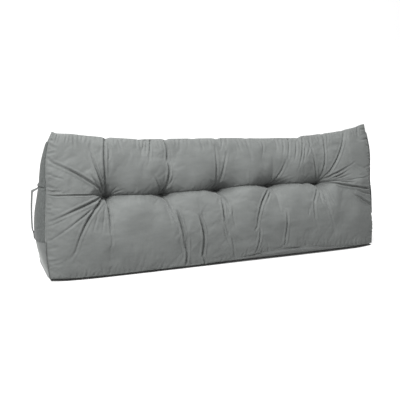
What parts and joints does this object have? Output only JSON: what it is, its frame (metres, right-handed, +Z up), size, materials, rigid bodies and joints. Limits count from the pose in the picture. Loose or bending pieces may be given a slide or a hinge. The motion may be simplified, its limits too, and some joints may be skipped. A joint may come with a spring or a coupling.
{
  "type": "headboard wedge cushion",
  "caption": "Long filled wedge cushion for a headboard, with a tufted velvet front, plain back, cloth end panels and a strap handle.",
  "frame": {"origin": "on the floor under the middle of the cushion's bounding box", "axes": "+Z up, +X along the cushion's width, -Y out of the tufted front"},
  "size_m": [1.4584, 0.2484, 0.505],
  "materials": {
    "grey_velvet": "matt velvet with a soft sheen",
    "dark_mottled_cloth": "matt flat-woven melange cloth",
    "grey_webbing": "matt woven webbing"
  },
  "bodies": {
    "root": {"cushion": "grey_velvet", "end_panel_left": "dark_mottled_cloth", "end_panel_right": "dark_mottled_cloth", "handle_left": "grey_webbing"}
  },
  "joints": []
}
